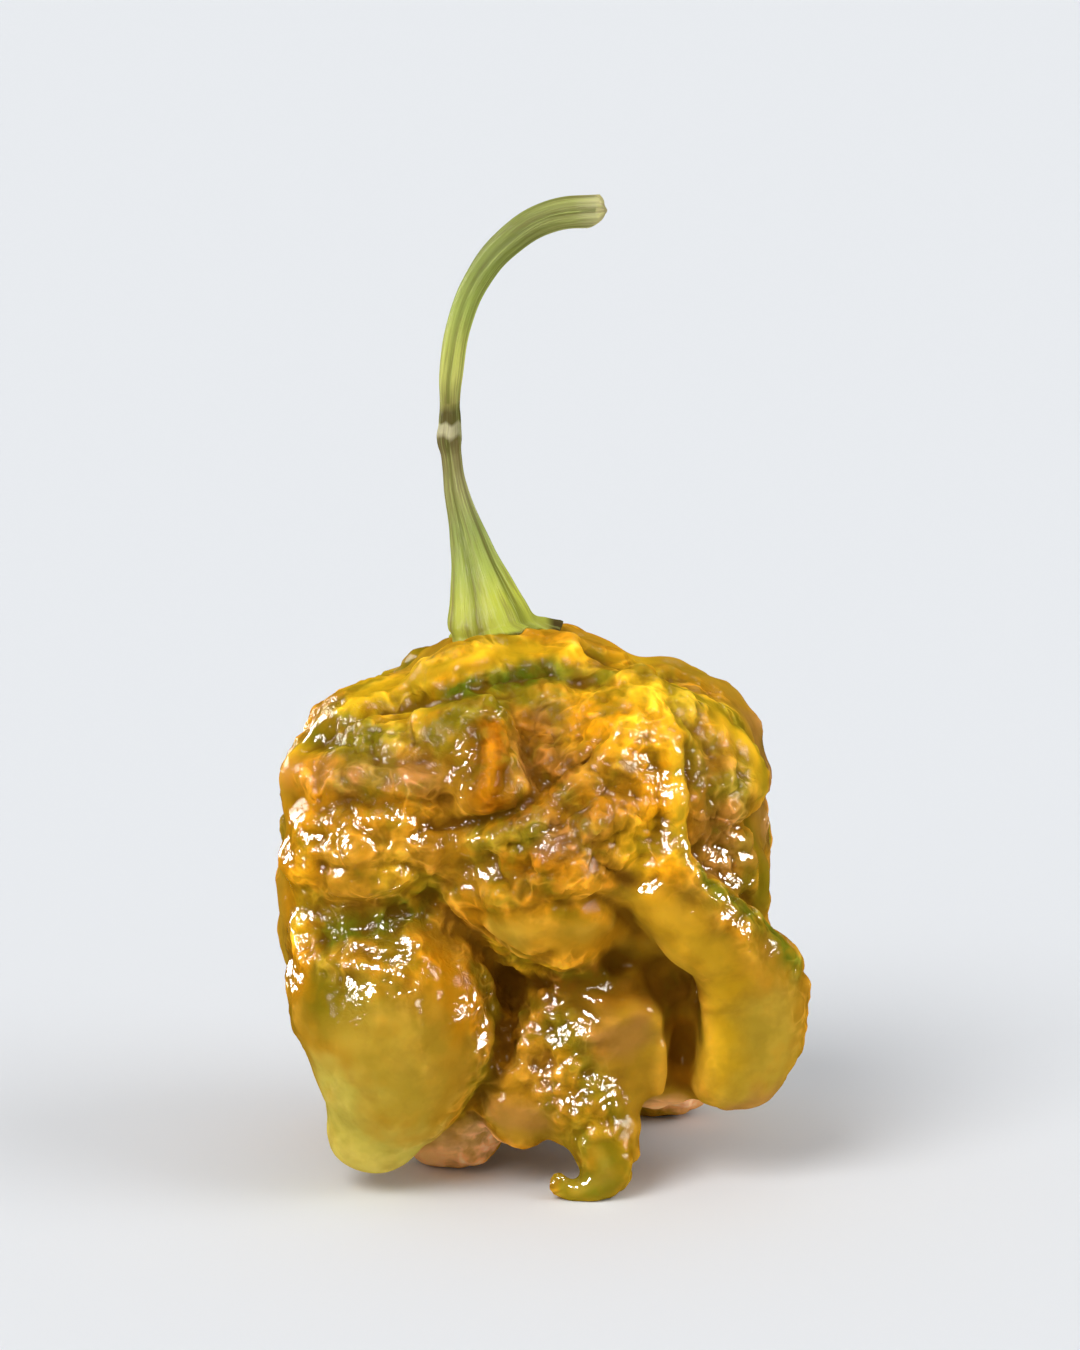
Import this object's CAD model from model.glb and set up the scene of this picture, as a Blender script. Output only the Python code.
# A gnarled super-hot chili pod as picked, standing on its lobes, with its calyx and its curved stem.
# The fixed frame holds the pod at its real size: metres, Z up, wrinkled front to -Y.
import math

import bpy
import numpy as np
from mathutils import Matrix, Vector, noise


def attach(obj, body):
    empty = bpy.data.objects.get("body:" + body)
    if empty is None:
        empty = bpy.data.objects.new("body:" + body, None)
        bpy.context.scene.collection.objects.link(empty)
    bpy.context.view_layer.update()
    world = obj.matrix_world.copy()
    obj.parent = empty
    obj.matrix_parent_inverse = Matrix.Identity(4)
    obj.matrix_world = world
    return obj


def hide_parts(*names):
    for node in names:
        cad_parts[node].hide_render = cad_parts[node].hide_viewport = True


mm = 0.001

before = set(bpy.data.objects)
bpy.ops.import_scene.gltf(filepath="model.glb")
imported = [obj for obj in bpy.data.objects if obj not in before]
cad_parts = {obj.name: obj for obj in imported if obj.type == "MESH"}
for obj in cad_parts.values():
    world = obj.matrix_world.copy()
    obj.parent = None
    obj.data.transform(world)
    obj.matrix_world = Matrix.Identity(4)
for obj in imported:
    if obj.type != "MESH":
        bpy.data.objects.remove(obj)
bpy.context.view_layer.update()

# the sides that marks on the skin are placed from: azimuth and elevation in degrees
views = {
    "front": (0, 14),
    "right": (90, 0),
    "back": (180, 0),
    "left": (270, 0),
    "top": (0, 90),
    "under": (0, -90),
}
# in mm
marksMiddle = Vector((-0.7, -2.5, 0.0))  # where marks count from, across and in depth
frontBase = 2.18  # the tail's tip lies this far under the origin in the front view
lookFrom = 120  # rays on to the skin start this far off
lineStep = 0.7  # a line through marks has a point about this often


def selectOnly(obj):
    bpy.ops.object.select_all(action="DESELECT")
    obj.hide_set(False)
    obj.select_set(True)
    bpy.context.view_layer.objects.active = obj


def applyModifier(obj, kind, **settings):
    selectOnly(obj)
    bpy.ops.object.modifier_add(type=kind)
    modifier = obj.modifiers[-1]
    for name, value in settings.items():
        setattr(modifier, name, value)
    bpy.ops.object.modifier_apply(modifier=modifier.name)


def mergePoints(obj, faceOut=False):
    # joins points that lie in one place, and can turn the faces outward
    selectOnly(obj)
    bpy.ops.object.mode_set(mode="EDIT")
    bpy.ops.mesh.select_all(action="SELECT")
    bpy.ops.mesh.remove_doubles(threshold=0.001 * mm)
    if faceOut:
        bpy.ops.mesh.normals_make_consistent(inside=False)
    bpy.ops.object.mode_set(mode="OBJECT")


def copyOfNode(nodeName, name):
    # a copy of a CAD node, its loose triangles merged into one skin
    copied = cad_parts[nodeName].copy()
    copied.data = copied.data.copy()
    copied.name = copied.data.name = name
    for key in list(copied.keys()):
        del copied[key]
    bpy.context.scene.collection.objects.link(copied)
    copied.parent = None
    mergePoints(copied)
    copied.data.materials.clear()
    return copied


def readSkin(obj):
    # points and normals, in mm
    mesh = obj.data
    points = np.empty(len(mesh.vertices) * 3)
    mesh.vertices.foreach_get("co", points)
    normals = np.empty(len(mesh.vertices) * 3)
    mesh.vertex_normals.foreach_get("vector", normals)
    return points.reshape(-1, 3) / mm, normals.reshape(-1, 3)


def writeSkin(obj, points):
    obj.data.vertices.foreach_set("co", (points * mm).ravel())
    obj.data.update()


def giveLayer(obj, name, kind, values):
    # an attribute with a value at each point
    layer = obj.data.attributes.new(name, kind, "POINT")
    field = {"FLOAT": "value", "FLOAT_VECTOR": "vector", "FLOAT_COLOR": "color"}[kind]
    layer.data.foreach_set(field, values.ravel())


def giveColour(obj, name, colour):
    giveLayer(obj, name, "FLOAT_COLOR", np.column_stack([colour, np.ones(len(colour))]))


def skinPoint(obj, view, across, up):
    # the point of the skin seen from that side, that far across and up
    azimuth, elevation = (math.radians(a) for a in views[view])
    upright = Vector((0, 0, 1))
    right = Vector((math.cos(azimuth), math.sin(azimuth), 0.0))
    level = Vector((-math.sin(azimuth), math.cos(azimuth), 0.0))
    rise = upright * math.cos(elevation) + level * math.sin(elevation)
    away = level * math.cos(elevation) - upright * math.sin(elevation)
    lift = up - frontBase if view == "front" else up
    start = marksMiddle + right * across + rise * lift - away * lookFrom
    hit, place, _, _ = obj.ray_cast(start * mm, away)
    return np.array(place / mm) if hit else None


def throughMarks(marks):
    # a smooth line through the marks: a cubic from each mark to the next, by the marks on either side
    line = []
    ends = [marks[0], *marks, marks[-1]]
    for before, start, end, after in zip(ends, ends[1:], ends[2:], ends[3:]):
        steps = max(2, int(math.dist(start, end) / lineStep))
        for t in (i / steps for i in range(steps)):
            line.append([
                0.5 * (2 * b + (c - a) * t + (2 * a - 5 * b + 4 * c - d) * t**2
                       + (3 * b - a - 3 * c + d) * t**3)
                for a, b, c, d in zip(before, start, end, after)
            ])
    return [*line, marks[-1]]


def strokePath(obj, view, marks):
    line = throughMarks(marks) if len(marks) > 1 else marks
    found = [skinPoint(obj, view, across, up) for across, up in line]
    return [point for point in found if point is not None]


def pathDistance(points, path, within):
    # how far each point is from the path, looked up only for points that near it
    nearest = np.full(len(points), np.inf)
    for start, end in zip(path, path[1:] or path):
        run = end - start
        least, most = np.minimum(start, end) - within, np.maximum(start, end) + within
        boxed = np.all((points > least) & (points < most), axis=1)
        near = points[boxed] - start
        along = np.clip((near @ run) / max(run @ run, 1e-9), 0.0, 1.0)
        nearest[boxed] = np.minimum(nearest[boxed], np.linalg.norm(near - along[:, None] * run, axis=1))
    return nearest


def noiseAt(points, size, seed=0.0):
    # soft noise from -1 to 1 with lumps of that size in mm
    return np.array([noise.noise(Vector(p) / size + Vector((seed, seed, seed))) for p in points])


def growing(values, start, run):
    # 0 up to the start, then evenly to 1 over the run
    return np.clip((values - start) / run, 0.0, 1.0)


# the pod

podSkin = {
    "grain": 0.3,  # size of its faces, mm
    "easing": 4,  # rounds of smoothing that take out the CAD facets
    "lobeEasing": 40,  # more rounds where the skin is stretched smooth
    "patchSize": 6.0,  # mm, of the patches that crumple more or less
    "patchMean": 0.75,  # how much it crumples on average, how far that varies, and the least
    "patchSpread": 0.9,
    "patchLeast": 0.25,
    "smoothShare": 0.94,  # how much shallower the lumps are where it is smooth
    "calmShare": 0.65,  # and where it is calm
    "placeFall": 1.8,  # the more, the steeper a place's weight falls to 0 at its reach
    "strokeShape": 1.6,  # the more, the flatter a crease's floor and the steeper its sides
    "strokeReach": 4,  # a stroke ends here, in its half widths
    "lips": 0.2,  # how far the skin swells beside a crease, as a share of its depth
    "lipsAt": 2.2,  # where it swells and how widely, in the crease's half widths
    "lipsWidth": 0.9,
    "foot": 0.0,  # the height that nothing of it goes below
}

# creases (depth below zero) and ridges, for each side: marks across and up, half width, depth in mm
podStrokes = {"front": [
    # the groove under the rolled rim, and the dent behind the rim's right end
    ([(-16.6, 33.4), (-13.3, 35.4), (-10.3, 36.4), (-7.3, 37), (-4.3, 37.9), (-1.2, 38.6),
      (1.2, 39.1)], 0.7, -0.55),
    ([(1.2, 39.2), (3.3, 38.4), (5.4, 38.3), (8.4, 38.5)], 0.6, -0.4),
    ([(4.2, 40.6), (6.4, 39.7), (9.4, 39), (11.4, 38.6)], 0.6, -0.45),
    # the rim's rolled edge
    ([(-14.4, 36.4), (-10.6, 38), (-6.6, 39.2), (-3, 40.3), (0.4, 40.6), (3.4, 40.2)], 1.3, 0.4),
    ([(-12.6, 37), (-9, 38.6), (-5, 40.2), (-1, 41.2)], 0.45, -0.14),
    ([(-8.6, 37.9), (-5.6, 38.9), (-2.6, 39.9)], 0.4, -0.14),
    ([(-3.6, 40.7), (-1.2, 41.1), (1.2, 41.4), (2.8, 41.3)], 1.3, 0.7),
    # small folds of the plateau under the rim
    ([(-15.2, 33.6), (-12.4, 34.4), (-9.8, 34.6)], 0.55, -0.2),
    ([(-9.4, 35.6), (-8.8, 34), (-9.2, 32.8)], 0.45, -0.18),
    ([(-7.2, 35.8), (-6.4, 34.2), (-6.6, 32.6)], 0.5, 0.22),
    # the shelf across the upper left: a soft ledge with a shaded line beneath
    ([(-18, 31.4), (-14.2, 31.6), (-10.3, 31.6), (-7.6, 31.4)], 1.3, 0.4),
    ([(-17.6, 29.8), (-14.2, 29.9), (-11.2, 29.6), (-8.2, 29.8), (-6.2, 29.6)], 0.8, -0.45),
    # the orange bump, between two hollows
    ([(-2.6, 35.8), (-2.6, 32.6), (-3.2, 30)], 1.3, 0.35),
    ([(-5, 33.4), (-5, 31.4), (-5.2, 29.6)], 0.8, 0.2),
    ([(-1.4, 34.8), (-1.3, 32.6), (-1, 31.2)], 0.5, 0.15),
    ([(-0.5, 34.6), (-0.2, 32.6), (0.6, 31.4)], 0.7, -0.35),
    ([(1.4, 35), (1.8, 33.4), (2.6, 32.4)], 0.5, -0.3),
    # the deep fold under it, which runs up to the right
    ([(-8.2, 27.4), (-5.6, 27.9), (-3.7, 28.3), (-1.8, 28.9), (0, 29.7), (1.5, 30.8), (3, 32), (4.5, 33),
      (5.4, 34.6)], 0.5, -0.5),
    # folds of the diagonal band beside it
    ([(7.8, 35.9), (6.2, 33.6), (4.6, 31.8), (1.8, 29.8), (-0.8, 28), (-3.4, 26.8)], 1.2, 0.35),
    ([(6.6, 31.2), (4.2, 29.4), (1.6, 27.8), (-1.4, 26.4)], 0.5, -0.25),
    ([(6.6, 27.6), (4.2, 26), (2.2, 24.8)], 0.5, -0.25),
    ([(-4.2, 26.4), (-3.6, 24.6), (-2.6, 22.9)], 0.6, 0.35),
    ([(-2.9, 25.8), (-2.1, 24.2), (-1.2, 23)], 0.6, -0.35),
    # the boss right of the hollow, and the dark fold beside the arm's root
    ([(2.2, 24.8), (3.6, 24.4), (4.6, 23.4)], 1, 0.35),
    ([(4.6, 25.4), (6.2, 24.4), (7.6, 23.6), (9.2, 24)], 0.5, -0.3),
    ([(4.6, 22.8), (5.8, 22.2), (6.8, 21.2), (7.8, 20)], 0.6, -0.5),
    # rows of bumps down the left face
    ([(-15.2, 28), (-12, 28.2), (-9.4, 28)], 0.6, 0.2),
    ([(-15.4, 26.2), (-13, 26.4), (-10.6, 26.2), (-8.8, 26.8)], 0.9, 0.28),
    ([(-15.2, 24.8), (-12.8, 24.6), (-10.4, 25), (-8.2, 24.6)], 0.5, -0.22),
    ([(-15, 23.2), (-12.6, 23.2), (-10.6, 23.6)], 0.8, 0.25),
    ([(-8, 25), (-6.2, 25.8), (-4.8, 25.8)], 0.5, 0.2),
    # the green hollow across the top of the left lobe, and two small folds on the lobe
    ([(-15.6, 19.4), (-13.4, 20.2), (-11.6, 20.6), (-9.4, 21.6), (-7.4, 22.8)], 1.2, -0.7),
    ([(-12.4, 17.4), (-11.2, 15.4), (-11, 13.8)], 0.6, 0.18),
    ([(-9.6, 18.4), (-8.4, 17), (-7.8, 15.2)], 0.6, -0.18),
    # the fold between the left lobe and the brow, down the lobe's edge
    ([(-7.2, 22), (-5.4, 20.6), (-3.9, 18.9), (-2.6, 17.4), (-1.9, 15.4)], 0.7, -0.6),
    # the lip of the brow: two soft folds over the cavity
    ([(-4.4, 21.6), (-1.9, 21.4), (0.4, 22.1), (2.6, 22.2), (4.4, 21.9)], 0.7, -0.28),
    ([(-3.4, 20.2), (-1.8, 18.9), (-0.2, 18.2), (1.4, 18.4)], 0.5, -0.3),
    ([(-2.2, 18.6), (-0.4, 17.5), (1.2, 17.1), (3.8, 17.4), (5.6, 18.6)], 0.7, 0.25),
    # the upright groove beside the left edge
    ([(-15.2, 28.6), (-15.4, 25), (-15.7, 21.6), (-15.7, 18.6)], 0.7, -0.3),
    # the corner from the right shoulder down to the arm
    ([(10.2, 34.4), (10.6, 32.6), (10.9, 30.2), (10.8, 27.8), (11.2, 25.4), (11.8, 23.9)], 0.75, 0.45),
    ([(11.6, 33.2), (11.9, 30.4), (11.8, 27.6), (12.2, 25.6), (13.2, 24)], 0.7, -0.5),
    # short uprights on the shoulder, and a ridge under it
    ([(8.2, 37.4), (8.3, 35.8), (8.6, 34.4)], 0.45, -0.18),
    ([(12.2, 37.6), (12.4, 36), (12.3, 34.6)], 0.45, -0.18),
    ([(15, 35.4), (15.4, 33.2), (15.3, 31)], 0.6, -0.25),
    ([(15.4, 26.6), (16.2, 25.4), (16.6, 24)], 0.7, 0.35),
    # the ridge along the arm's upper edge, and the groove behind it
    ([(12, 24.2), (14.4, 21.9), (17, 19.8), (19.6, 17.8)], 0.7, 0.35),
    ([(13, 24.8), (15.6, 22.6), (17.8, 20.7), (19.4, 19.2)], 0.5, -0.4),
    # the cut between the arm and the hollow beside the plug
    ([(9.6, 15.6), (10.2, 12.8)], 0.6, -0.3),
    # the lobe and the plug swell towards each other there
    ([(13.5, 15), (13.9, 11.6), (13.5, 8.2)], 1.3, 1),
    ([(9, 13.4), (9.2, 10.8), (9, 8.4)], 1.1, 0.7),
    # the dark cavities under the brow and beside the plug
    ([(6.6, 17.6), (8, 17.5), (9.4, 16.8)], 1.3, -1.2),
    ([(-1.8, 16.4), (-1.3, 14.6), (-1.6, 12.4), (-2, 10.4)], 0.8, -0.9),
    ([(-0.6, 16.2), (1, 16)], 0.8, -0.6),
    ([(11.2, 14), (11.3, 10.6)], 0.9, -0.5),
    # folds across the plug's top
    ([(-0.8, 14.6), (1.2, 15), (3.2, 14.6), (4.8, 13.4)], 0.6, -0.25),
    ([(3.6, 16.2), (6, 15.4), (8.2, 15.8)], 0.6, -0.25),
    ([(4.2, 12.2), (6.4, 13.4), (8.4, 14.2)], 0.6, 0.2),
    ([(1, 11.6), (2.6, 11), (3.4, 9.4)], 0.6, 0.22),
    ([(9.2, 11.4), (9.4, 9.8), (9.2, 8.2)], 0.55, 0.35),
    ([(0.2, 10.4), (1.4, 9), (1.6, 7.2)], 0.5, -0.25),
    # the wrinkled strip between plug and right lobe
    ([(9, 6.8), (11.2, 6.4), (13.6, 6.6)], 0.5, -0.25),
    # the tail keeps its round hook
    ([(3.4, 4.2), (5.4, 3.2), (6.4, 1.8), (5.2, 0.9), (3.2, 0.6)], 1.6, 0.35),
], "right": [
    # long folds down the sides and the back
    ([(-9.4, 33), (-8.6, 29), (-9.2, 24)], 0.8, -0.25),
    ([(-2.4, 34), (-1.6, 30), (-3.4, 25), (-2.4, 19)], 1, -0.4),
    ([(5, 34), (5.4, 30), (3.8, 24), (4.6, 16)], 1, -0.6),
    ([(10.6, 34), (11.4, 29), (10, 22)], 0.8, -0.4),
    ([(-6, 28.6), (-2, 27), (2, 28.2), (6.6, 26.2)], 0.7, -0.3),
], "back": [
    ([(-14.6, 33), (-9, 35), (-3, 34.2), (3.6, 35.6), (10, 34.2), (15, 32.2)], 0.9, -0.5),
    ([(-10.4, 32), (-9, 26), (-10.6, 19.4), (-9.6, 14.6)], 1, -0.7),
    ([(-3, 32.6), (-2, 27.4), (-3.6, 21), (-2.4, 15)], 0.9, -0.5),
    ([(4.4, 33.2), (5.6, 27), (4, 20.6), (5.4, 14.6)], 1, -0.7),
    ([(11.4, 32), (12, 26), (10.6, 20), (11.2, 14.8)], 0.9, -0.5),
    ([(-8, 25.2), (-5, 26.2), (-2.6, 25)], 0.7, -0.3),
    ([(-1, 29.6), (1.6, 28.4), (4, 29.6)], 0.8, 0.35),
    ([(5.6, 22.4), (8.2, 21.2), (10.4, 22.4)], 0.7, -0.3),
], "left": [
    ([(-9.6, 36), (-8.6, 29), (-9.8, 22)], 0.8, -0.4),
    ([(-3.4, 37.4), (-2.2, 30.4), (-3.8, 24), (-2.6, 17)], 1, -0.6),
    ([(2, 34), (3, 29), (2, 23), (3, 17.4)], 1, -0.35),
    ([(-6, 27.6), (-2.8, 26.4), (0, 27.2)], 0.7, -0.3),
], "top": [
    # dimples round the stem and on the shoulders
    ([(-9, 4), (-6.4, 6.2), (-2.8, 7.2), (1.4, 6.6)], 0.8, -0.4),
    ([(4.4, 8.6), (7.8, 6.2), (11, 6.6)], 0.8, -0.4),
    ([(-12.6, 9.4), (-9.8, 11.4), (-6, 12.4)], 0.8, -0.4),
    ([(2.6, 1.6), (5.6, 2.6), (9, 1.2)], 0.8, -0.35),
    ([(-14, 2), (-11.4, 3.4), (-10, 6.2)], 0.8, -0.35),
]}

# where the skin is stretched smooth, where its lumps are shallow and where it wrinkles its own way:
# side, marks, reach in mm
podPlaces = {
    "smooth": [
        ("front", [(-11.4, 11.6), (-11.4, 8), (-13.2, 3.4)], 6.4),
        ("front", [(-6.6, 14.6), (-6, 10.4), (-8.4, 5.4)], 3.4),
        ("front", [(-15.6, 14), (-16, 8)], 4),
        ("front", [(15.6, 15.4), (16.6, 11), (16.6, 7.4)], 5.6),
        ("front", [(8.6, 21.6), (11.6, 19), (14.6, 17.2)], 3),
        ("front", [(-2, 19.8), (1.4, 19.6), (4.8, 19.8)], 2.2),
        ("front", [(-12.6, 37.4), (-8.2, 38.9), (-3, 40.2), (2, 40.6)], 1.1),
        ("front", [(4, 15), (8.2, 14.4), (10.8, 11.4)], 2.2),
        ("front", [(-1.6, 5.6), (0.4, 5.2)], 2),
        ("front", [(5.6, 3.4), (5.8, 1.4), (3.4, 0.6)], 1.8),
        ("left", [(-3, 8), (4, 7)], 6),
        ("left", [(-1, 30), (0, 24), (0, 17)], 3.2),
        ("left", [(4.4, 33.6), (6, 28.6), (6, 24), (3, 18.6), (2.4, 16.4)], 2.5),
        ("right", [(0, 34), (-1, 28), (-2, 22)], 3),
        ("right", [(-4.4, 36), (-4.6, 31)], 1.5),
        ("top", [(-14, 4), (-9, 2), (-3, 3)], 2.4),
        ("top", [(5, 3), (10, 4), (15, 3)], 3),
        ("back", [(9.4, 5), (8, 10)], 6),
        ("back", [(-9.6, 5), (-9, 10)], 6),
        ("right", [(6, 6), (12, 6)], 6),
        ("right", [(-9, 12)], 5),
        ("under", [(-10, 7.5), (-9, -6)], 6.5),
        ("under", [(9, 10.5), (14, -4)], 6.5),
    ],
    "calm": [
        ("front", [(14.4, 34.4), (15, 29), (15.8, 25)], 3.2),
        ("front", [(-14.6, 32.8), (-10, 31.2), (-7, 31)], 2.8),
        ("front", [(-12, 22.6), (-9, 24)], 1.8),
    ],
    "across": [
        ("front", [(8.4, 33), (8.2, 29), (7.6, 25.6)], 3.8),
        ("front", [(-13, 31.4), (-8, 30.8)], 3),
        ("back", [(1, 26), (1, 18)], 5.5),
        ("left", [(-5, 26), (-5, 18)], 5),
    ],
    "upright": [
        ("front", [(-13, 36.8), (-8.2, 38.6), (-3, 40), (2.4, 40.4)], 2.4),
        ("front", [(6, 36.2), (11, 35.4), (15, 33.4)], 3.2),
        ("front", [(14.8, 31), (15.2, 26)], 3.8),
        ("right", [(4, 32), (6, 24)], 6),
        ("back", [(-8, 30), (-7, 22)], 5),
        ("left", [(5, 31), (6, 24)], 5),
    ],
    "rows": [
        ("front", [(-15, 26.4), (-9, 26.4)], 3.4),
        ("front", [(-14.6, 18), (-9.6, 18.2)], 2.8),
        ("right", [(-6, 30), (-6, 24)], 4),
        ("back", [(11, 28), (11, 22)], 4.5),
    ],
    "netted": [
        ("front", [(5.2, 32.6), (2.6, 29.6), (-0.6, 27)], 3),
        ("front", [(7, 30), (5, 26.4), (2, 25.4)], 3.4),
        ("front", [(0.6, 33.4)], 2.6),
        ("front", [(-9, 34.6), (-13, 34)], 2.2),
        ("front", [(14.6, 30), (14.8, 26.4)], 3),
        ("back", [(1, 30), (1, 24)], 4.5),
        ("left", [(0.6, 30), (0.6, 24)], 4),
    ],
    "pimpled": [
        ("front", [(0.6, 11.4), (3.4, 8.4), (8, 9)], 4),
        ("front", [(5, 6), (6.4, 4)], 2.4),
        ("front", [(1.4, 27), (2, 25.6)], 2),
        ("front", [(10.8, 6.8), (13.6, 7)], 2.2),
        ("back", [(1, 12)], 5),
    ],
}

smoothNoise = {"noise_scale": 1, "noise_depth": 0}
softLumps = {**smoothNoise, "noise_type": "SOFT_NOISE", "noise_basis": "ORIGINAL_PERLIN"}
ripples = {**smoothNoise, "noise_scale": 1.2, "turbulence": 6, "marble_type": "SOFT", "noise_basis_2": "SIN"}
cells = {"noise_scale": 1, "noise_distortion": "ORIGINAL_PERLIN"}

# how the skin crumples: a Blender texture each, the size of its unit in mm, its height in mm, and where.
# Ripples run square to their direction, each about 0.73 of a unit from the next.
podCrumples = [
    {"name": "gnarls", "kind": "CLOUDS", "size": 4.2, "height": 0.34, "where": "crumpled", "look": softLumps},
    {"name": "cobbles", "kind": "DISTORTED_NOISE", "size": 1.6, "height": -0.24, "where": "crumpled",
     "look": {**cells, "distortion": 0.7, "noise_basis": "VORONOI_F1"}},
    {"name": "worms", "kind": "CLOUDS", "size": 1.5, "height": -0.2, "where": "crumpled",
     "look": {**softLumps, "noise_type": "HARD_NOISE"}},
    {"name": "rows", "kind": "MARBLE", "size": 2.6, "height": 0.22, "where": "rows", "toward": (0.3, 0.2, 1),
     "look": {**ripples, "noise_scale": 0.9, "turbulence": 5, "noise_depth": 1}},
    {"name": "ripplesAcross", "kind": "MARBLE", "size": 1.5, "height": 0.12, "where": "across",
     "toward": (0.25, 0.1, 1), "look": ripples},
    {"name": "ripplesUpright", "kind": "MARBLE", "size": 1.7, "height": 0.1, "where": "upright",
     "toward": (1, 0.8, 0.1), "look": ripples},
    {"name": "net", "kind": "DISTORTED_NOISE", "size": 1.25, "height": -0.24, "where": "netted",
     "look": {**cells, "distortion": 0.9, "noise_basis": "VORONOI_F2_F1"}},
    {"name": "pimples", "kind": "VORONOI", "size": 1.1, "height": -0.5, "where": "pimpled",
     "look": {"noise_scale": 1, "distance_metric": "DISTANCE"}},
    {"name": "swells", "kind": "CLOUDS", "size": 5.5, "height": 0.3, "where": "smooth", "look": softLumps},
]


def placeWeight(obj, points, places):
    # 1 inside a place, falling to 0 at its reach
    weight = np.zeros(len(points))
    for view, marks, reach in places:
        path = strokePath(obj, view, marks)
        if path:
            near = pathDistance(points, path, reach) / reach
            inside = np.clip(podSkin["placeFall"] - podSkin["placeFall"] * near, 0.0, 1.0)
            weight = np.maximum(weight, inside)
    return weight


def giveGroup(obj, name, weights):
    group = obj.vertex_groups.new(name=name)
    steps = np.round(weights, 2)
    for value in np.unique(steps):
        if value > 0:
            group.add(np.nonzero(steps == value)[0].tolist(), float(value), "REPLACE")


def crumple(obj, settings):
    # raises the skin along its normals by a texture in a space of its own size and turn
    texture = bpy.data.textures.new(settings["name"], settings["kind"])
    for name, value in settings["look"].items():
        setattr(texture, name, value)
    bpy.ops.object.empty_add(location=(0, 0, 0))
    space = bpy.context.object
    space.rotation_mode = "QUATERNION"
    toward = Vector(settings.get("toward", (1, 1, 1)))
    space.rotation_quaternion = Vector((1, 1, 1)).rotation_difference(toward)
    space.scale = [mm * settings["size"]] * 3
    applyModifier(
        obj,
        "DISPLACE",
        texture=texture,
        texture_coords="OBJECT",
        texture_coords_object=space,
        mid_level=0.5,
        strength=settings["height"] * mm,
        vertex_group=settings["where"],
    )
    bpy.data.objects.remove(space)


def cutStrokes(obj):
    points, normals = readSkin(obj)
    height = np.zeros(len(points))
    for view, strokes in podStrokes.items():
        for marks, halfWidth, depth in strokes:
            path = strokePath(obj, view, marks)
            if len(path) < 2:
                print("a stroke misses the skin:", view, marks)
                continue
            near = pathDistance(points, path, podSkin["strokeReach"] * halfWidth) / halfWidth
            lips = podSkin["lips"] * np.exp(-(((near - podSkin["lipsAt"]) / podSkin["lipsWidth"]) ** 2))
            height += depth * (np.exp(-(near ** podSkin["strokeShape"])) - lips)
    writeSkin(obj, points + normals * height[:, None])


def makePod():
    pod = copyOfNode("pod", "podFlesh")
    applyModifier(pod, "REMESH", mode="VOXEL", voxel_size=podSkin["grain"] * mm)
    applyModifier(pod, "SMOOTH", factor=0.5, iterations=podSkin["easing"])
    points, _ = readSkin(pod)
    smooth = placeWeight(pod, points, podPlaces["smooth"])
    calm = podSkin["calmShare"] * placeWeight(pod, points, podPlaces["calm"])
    patchy = podSkin["patchMean"] + podSkin["patchSpread"] * noiseAt(points, podSkin["patchSize"])
    patchy = np.clip(patchy, podSkin["patchLeast"], 1.0)
    giveGroup(pod, "smooth", smooth)
    giveGroup(pod, "crumpled", (1.0 - podSkin["smoothShare"] * smooth) * (1.0 - calm) * patchy)
    for name, places in podPlaces.items():
        if name not in ("smooth", "calm"):
            giveGroup(pod, name, placeWeight(pod, points, places) * (1 - smooth))
    applyModifier(pod, "SMOOTH", factor=0.5, iterations=podSkin["lobeEasing"], vertex_group="smooth")
    cutStrokes(pod)
    for settings in podCrumples:
        crumple(pod, settings)
    points, _ = readSkin(pod)
    points[:, 2] = np.maximum(points[:, 2], podSkin["foot"])
    writeSkin(pod, points)
    selectOnly(pod)
    bpy.ops.object.shade_smooth()
    print("pod:", len(pod.data.vertices), "points,", len(pod.data.polygons), "faces")
    return pod


# the skin's colours
podColours = {
    "mustard": (0.45, 0.235, 0.014),  # where the skin is smooth
    "deepMustard": (0.42, 0.2, 0.009),  # where it is wrinkled
    "orange": (0.62, 0.25, 0.004),
    "deepOrange": (0.4, 0.14, 0.003),
    "brightOrange": (0.82, 0.34, 0.006),
    "rust": (0.2, 0.064, 0.001),
    "yellow": (0.7, 0.4, 0.01),
    "gold": (0.78, 0.43, 0.012),
    "olive": (0.22, 0.16, 0.005),
    "green": (0.11, 0.135, 0.005),
    "pinkBrown": (0.4, 0.175, 0.04),
    "brown": (0.2, 0.08, 0.004),
    "dark": (0.05, 0.018, 0.001),
    "pale": (0.52, 0.33, 0.03),
    "tucked": (1.0, 0.5, 0.17),
    "lime": (0.61, 0.48, 0.075),
}

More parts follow.
